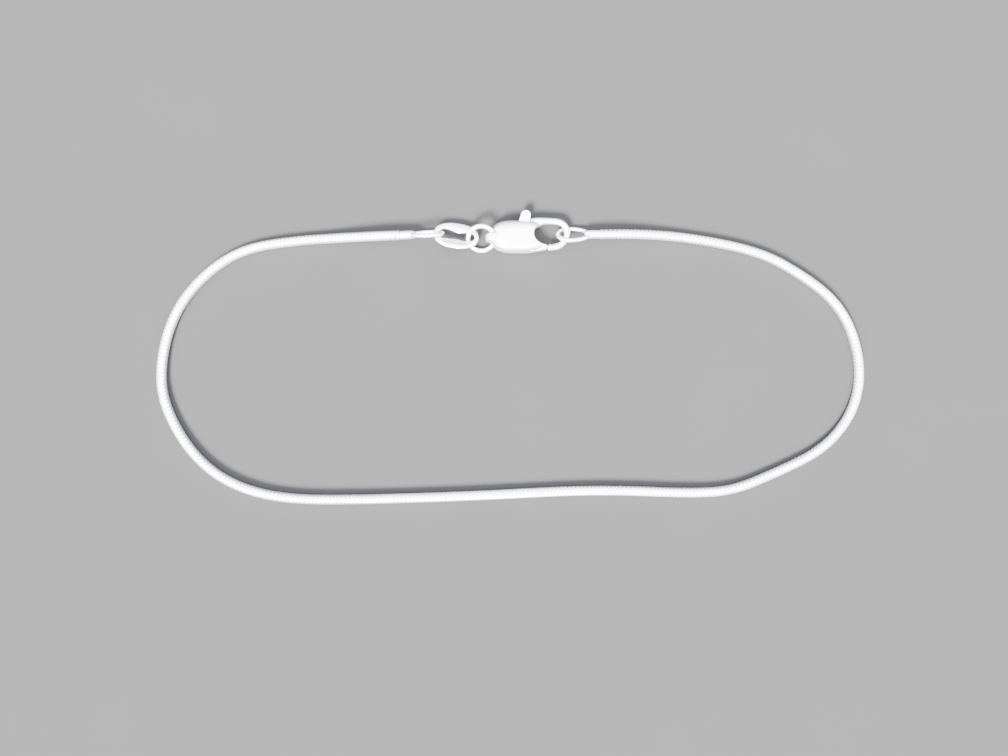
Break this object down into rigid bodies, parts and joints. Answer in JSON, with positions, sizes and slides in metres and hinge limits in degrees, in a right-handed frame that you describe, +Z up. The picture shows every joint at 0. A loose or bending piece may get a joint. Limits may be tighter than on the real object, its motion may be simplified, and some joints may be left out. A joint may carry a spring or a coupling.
{
  "type": "snake chain bracelet",
  "caption": "Silver chain bracelet of round snake chain, fastened end to end by a lobster clasp, a jump ring and a pressed oval link",
  "frame": {"origin": "middle of the bracelet's outline, on the surface that it lies on", "axes": "+X along the long way of the loop, towards the clasp's hook; +Y across the loop towards the clasp; +Z up from the surface"},
  "size_m": [0.0809, 0.0335, 0.0025],
  "materials": {
    "silver_polished": "polished sterling silver",
    "silver_chain": "fine ribbed sterling silver links, softly bright"
  },
  "bodies": {
    "bracelet": {"chain": "silver_chain", "end_loop_left": "silver_polished", "end_loop_right": "silver_polished", "oval_link": "silver_polished", "jump_ring": "silver_polished", "clasp_body": "silver_polished", "lever_pin": "silver_polished"},
    "lever": {"clasp_lever": "silver_polished"}
  },
  "joints": [
    {"name": "lever_hinge", "type": "hinge", "parent": "bracelet", "child": "lever", "pos_m": [0.00085, 0.01377, 0.0011], "axis": [0, 0, 1], "range_deg": [0, 20], "stiffness_Nm_per_rad": 0.002}
  ]
}
